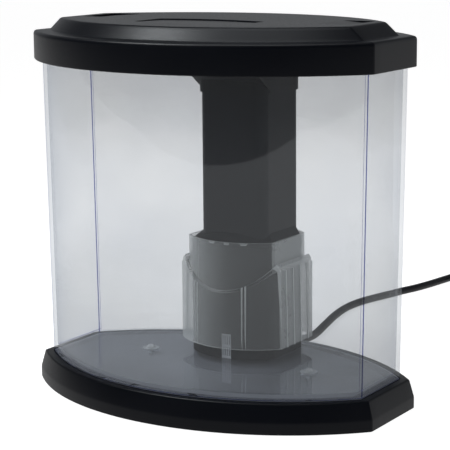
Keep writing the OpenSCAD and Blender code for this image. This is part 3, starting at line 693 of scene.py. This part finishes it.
def add_box(bm, centre, size):
    made = bmesh.ops.create_cube(bm, size=MM)["verts"]
    bmesh.ops.scale(bm, vec=Vector(size), verts=made)
    bmesh.ops.translate(bm, vec=Vector(centre) * MM, verts=made)


def is_level(point):
    return abs(point.z / MM - PLATEAU_Z) < 0.01


def on_plateau(face, side, narrow):
    """True for a face of the plateau, on one side's strip between the grip's ends if narrow."""
    x = side * face.calc_center_median().x / MM
    return all(is_level(vert.co) for vert in face.verts) and (
        not narrow or GRIP_X[0] < x < GRIP_X[1]
    )


def in_grip(face):
    middle = face.calc_center_median()
    x, y, _ = middle / MM
    return is_level(middle) and GRIP_X[0] < abs(x) < GRIP_X[1] and GRIP_Y[0] < y < GRIP_Y[1]


def place(point):
    """A number that tells a point from its neighbours, to sort a mesh by."""
    return point.x + 3.7 * point.y + 11.3 * point.z


def split_plateau(bm, point, normal, side, narrow):
    """Cuts the plateau's faces by a plane, on one side of the lid."""
    faces = [face for face in bm.faces if on_plateau(face, side, narrow)]
    edges = list(dict.fromkeys(edge for face in faces for edge in face.edges))
    verts = list(dict.fromkeys(vert for face in faces for vert in face.verts))
    bmesh.ops.bisect_plane(
        bm, geom=faces + edges + verts, plane_co=Vector(point) * MM, plane_no=normal, dist=1e-7
    )


def cut_grips(bm):
    """Sinks a wedge near each end of the plateau: level at first, deepest at its outer wall."""
    for side in (-1, 1):
        for across in GRIP_X:
            split_plateau(bm, (side * across, 0, PLATEAU_Z), (1, 0, 0), side, False)
        for along in GRIP_Y:
            split_plateau(bm, (0, along, PLATEAU_Z), (0, 1, 0), side, True)
    inside = [face for face in bm.faces if in_grip(face)]
    made = bmesh.ops.extrude_face_region(bm, geom=inside)["geom"]
    bmesh.ops.delete(bm, geom=inside, context="FACES_KEEP_BOUNDARY")
    for vert in (item for item in made if isinstance(item, bmesh.types.BMVert)):
        depth = (abs(vert.co.x) / MM - GRIP_X[0]) * math.tan(math.radians(GRIP_LEAN))
        vert.co.z -= max(depth, 0.0) * MM
    # The cuts leave the mesh in an order that changes from run to run.
    bm.verts.sort(key=lambda vert: place(vert.co))
    bm.faces.sort(key=lambda face: place(face.calc_center_median()))


def add_hatch_ledge(bm):
    """The lip round the front of the opening that the closed hatch lies on."""
    outside = plan(grown(HATCH, LIP_OUT), HATCH_CORNER + LIP_OUT, HATCH_Y)
    inside = plan(grown(HATCH, LIP_IN), 0.5, HATCH_Y)
    top = UNDER_Z + 0.05
    front = [
        [(*out, LIP_Z), (*into, LIP_Z), (*into, top), (*out, top)]
        for out, into in zip(outside, inside)
        if out[1] < HINGE_Y - 5
    ]
    middle = next(i for i, section in enumerate(front) if section[0][0] < -0.001)
    add_loft(bm, front[middle:] + front[:middle])


def make_lid():
    """A closed skin round the rim, the slope and the plateau, down the hatch's opening, and back
    along the underside; then the ribs, bosses and ledge under it."""
    rim = eased(
        [(-0.5, RIM_Z), (0, RIM_Z + 0.5), (0, RIM_TOP), (-8, RIM_TOP)], [0, 0.3, 3.4, 0], steps=6
    )
    rings = ringed(LID, rim[:-1], LID_CORNER)
    rings += [slope_ring(-0.8, RIM_TOP), slope_ring(-0.1, RIM_TOP + 0.15)]
    rings += [slope_ring(0, z) for z in SLOPE_HEIGHTS]
    rings += [slope_ring(0.3, PLATEAU_Z - 0.35), slope_ring(1.1, PLATEAU_Z)]
    rings += [slope_ring(3, PLATEAU_Z)]
    rings += ringed(HATCH, HATCH_EDGE, HATCH_CORNER, HATCH_Y)
    rings += [slope_ring(SLOPE_WALL, UNDER_Z), slope_ring(SLOPE_WALL, RIM_DECK)]
    rings += ringed(LID, [(-RIM_WALL, RIM_DECK), (-RIM_WALL, RIM_Z)], LID_CORNER)
    bm = bmesh.new()
    add_loft(bm, rings, loop=True)
    cut_grips(bm)
    for outer, inner, low in RIM_RIBS:
        top = RIM_DECK + 0.6
        rib = [(outer, low), (outer, top), (inner, top), (inner, low)]
        walls = [at_height(tank_plan(-g, TANK_TOP, TANK_CORNER), z) for g, z in rib]
        add_loft(bm, walls, loop=True)
    for x in EAR_X:
        for y in EAR_Y:
            add_turned(bm, EAR, (x, y, 0), steps=24)
    add_hatch_ledge(bm)
    for x in PIN_BOSS_X:
        add_box(bm, (x, HINGE_Y, HINGE_Z - 0.1), PIN_BOSS)
    piece("lid_moulding", bm, "lid", "black_shell", "lid_shell")


make_lid()


# ---------------------------------------------------------------- CAD nodes that stay

SOFT = {  # mm, what rounds the edges of these nodes
    "filter_cup": 0.45, "column_foot": 0.6, "pump_chamber": 0.6, "column_tube": 0.5,
    "column_head": 0.6, "feeding_hatch": 0.4, "bottom_cover": 0.4, "plug_body": 1.6,
    "plug_pins": 0.8, "cord_tie": 0.3,
}
EDGE = 0.2  # mm, what rounds the edges of every other node
# The cup's body: its bows' radius and how far their centres lie past the middle, its half width
# and its middle; then its lowest z, its height, and how far bows and sides come in over it.
CUP_BOW, CUP_BOW_BACK, CUP_SIDE, CUP_Y = 60.5, 14.5, 46.0, 40.5
CUP_LOW, CUP_TALL, CUP_BOW_IN, CUP_SIDE_IN = 37.5, 64.5, 1.2, 1.6
CUP_SHOULDER, CUP_TOP = 99.0, 119.0
RIB_PROUD = 0.15  # mm
SMALL_FACE = 4e-6  # square metres


def is_rib(face):
    """True for a face that stands proud of the cup's body and for its bottom edge. Above the
    shoulder it is true for the top edge and for the small faces there."""
    x, y, z = face.center / MM
    if z > CUP_SHOULDER:
        return z > CUP_TOP or face.area < SMALL_FACE
    part = (z - CUP_LOW) / CUP_TALL
    side = CUP_SIDE - CUP_SIDE_IN * part
    bow = CUP_BOW - CUP_BOW_IN * part
    past_bow = math.hypot(x, abs(y - CUP_Y) + CUP_BOW_BACK) > bow + RIB_PROUD
    return abs(x) > side + RIB_PROUD or past_bow or z < CUP_LOW + 0.1


def dress_nodes():
    """Gives each visible CAD node its look and rounds its edges."""
    for name, node in frame["nodes"].items():
        if node.hide_render:
            continue
        dress(node, SLOT[name])
        if name == "filter_cup":
            node.data.materials.append(LOOKS["clear_rib"])
            for face in node.data.polygons:
                face.material_index = int(is_rib(face))
        softened(node, SOFT.get(name, EDGE), segments=2 if name in SOFT else 1)


dress_nodes()


# ---------------------------------------------------------------- stage


TABLE_SIZE = 8.0  # m
TABLE_GLOW = 0.95  # what the table shows the camera before any lamp
TABLE_GLOSS = 0.62  # what it shows in gloss, as far as its front edge
TABLE_EDGE = -1.2  # m, the y of that edge
TABLE_DARK = (0.02, 0.02, 0.02)  # what gloss sees of its own colour


def table_look():
    """A white that glows for the camera, and for gloss only as far as TABLE_EDGE."""
    look, tree, shader, out = new_material("table_white")
    white = tinted(tree, noise(tree, 3.0), (0.3, 0.3, 0.3), (0.31, 0.31, 0.31))
    tree.links.new(white, shader.inputs["Base Color"])
    shader.inputs["Roughness"].default_value = 0.75
    shader.inputs["Specular IOR Level"].default_value = 0.05
    along = coordinates(tree, "Object")["Y"]
    reach = spread(tree, along, 0.0, TABLE_GLOSS, start=TABLE_EDGE - 0.02, end=TABLE_EDGE)
    path = tree.nodes.new("ShaderNodeLightPath")
    is_gloss = path.outputs["Is Glossy Ray"]
    seen = math_node(tree, "MULTIPLY", path.outputs["Is Camera Ray"], TABLE_GLOW)
    mirrored = math_node(tree, "MULTIPLY", is_gloss, reach)
    glow = tree.nodes.new("ShaderNodeEmission")
    tree.links.new(math_node(tree, "ADD", seen, mirrored), glow.inputs["Strength"])
    dark = tree.nodes.new("ShaderNodeBsdfDiffuse")
    dark.inputs["Color"].default_value = (*TABLE_DARK, 1)
    both = tree.nodes.new("ShaderNodeAddShader")
    own = blended(tree, is_gloss, shader.outputs[0], dark.outputs[0])
    tree.links.new(own, both.inputs[0])
    tree.links.new(glow.outputs[0], both.inputs[1])
    tree.links.new(both.outputs[0], out.inputs["Surface"])
    return look


def make_stage():
    """A white table. In gloss the room past its front edge is dark."""
    bm = bmesh.new()
    bmesh.ops.create_grid(bm, x_segments=8, y_segments=8, size=TABLE_SIZE)
    mesh = bpy.data.meshes.new("table")
    bm.to_mesh(mesh)
    bm.free()
    table = placed("table", mesh)
    table.data.materials.append(table_look())


LAMP_COLOUR = (0.93, 0.97, 1)


def add_lamp(name, at, towards, size, power, glossy=True):
    """A lamp at a place, in metres, of a power in watts."""
    data = bpy.data.lights.new(name, "AREA")
    data.shape = "RECTANGLE"
    data.size, data.size_y = size
    data.energy = power
    data.color = LAMP_COLOUR
    lamp = placed(name, data)
    lamp.location = at
    lamp.rotation_euler = (Vector(towards) - Vector(at)).to_track_quat("-Z", "Y").to_euler()
    lamp.visible_camera = False
    lamp.visible_glossy = glossy


BACKDROP = 0.98  # what the camera sees past the table
# What lights the object and shows in its gloss: each strength, and where it sets in and is full
# as a direction's y or z.
ROOM_FRONT, ROOM_BACK, ROOM_TOP = 0.01, 0.52, 0.03
BACK_FROM, BACK_FULL = 0.05, 0.7
LOW_UNTIL, LOW_GONE, LOW_LEFT = 0.26, 0.42, 0.1
TOP_FROM, TOP_FULL = 0.35, 0.9


def make_world():
    """A pale backdrop for the camera, and for gloss and shade a room that is bright at the back."""
    world = bpy.data.worlds.new("studio")
    bpy.context.scene.world = world
    world.use_nodes = True
    tree = world.node_tree
    tree.nodes.clear()
    facing = coordinates(tree, "Generated")
    back = spread(tree, facing["Y"], ROOM_FRONT, ROOM_BACK, start=BACK_FROM, end=BACK_FULL)
    low = spread(tree, facing["Z"], 1.0, LOW_LEFT, start=LOW_UNTIL, end=LOW_GONE)
    top = spread(tree, facing["Z"], 0.0, ROOM_TOP, start=TOP_FROM, end=TOP_FULL)
    room = tree.nodes.new("ShaderNodeBackground")
    room.inputs["Color"].default_value = (*COLD_WHITE, 1)
    strength = math_node(tree, "ADD", math_node(tree, "MULTIPLY", back, low), top)
    tree.links.new(strength, room.inputs["Strength"])
    pale = tree.nodes.new("ShaderNodeBackground")
    pale.inputs["Strength"].default_value = BACKDROP
    rays = tree.nodes.new("ShaderNodeLightPath").outputs
    bounced = math_node(tree, "MAXIMUM", rays["Is Diffuse Ray"], rays["Is Glossy Ray"])
    out = tree.nodes.new("ShaderNodeOutputWorld")
    sky = blended(tree, bounced, pale.outputs[0], room.outputs[0])
    tree.links.new(sky, out.inputs["Surface"])


make_stage()
make_world()
add_lamp("overhead", (0.0, -0.1, 1.25), (0, 0.05, 0), (0.75, 0.75), 5)
add_lamp("slope_glow", (-0.62, -0.42, 1.3), (0, -0.08, 0.28), (0.5, 0.35), 12)
add_lamp("front_fill", (-0.5, -1.3, 0.55), (0, 0, 0.12), (0.9, 0.6), 10, glossy=False)
add_lamp("side_fill", (1.3, -0.5, 0.5), (0, 0, 0.12), (0.8, 0.6), 9, glossy=False)
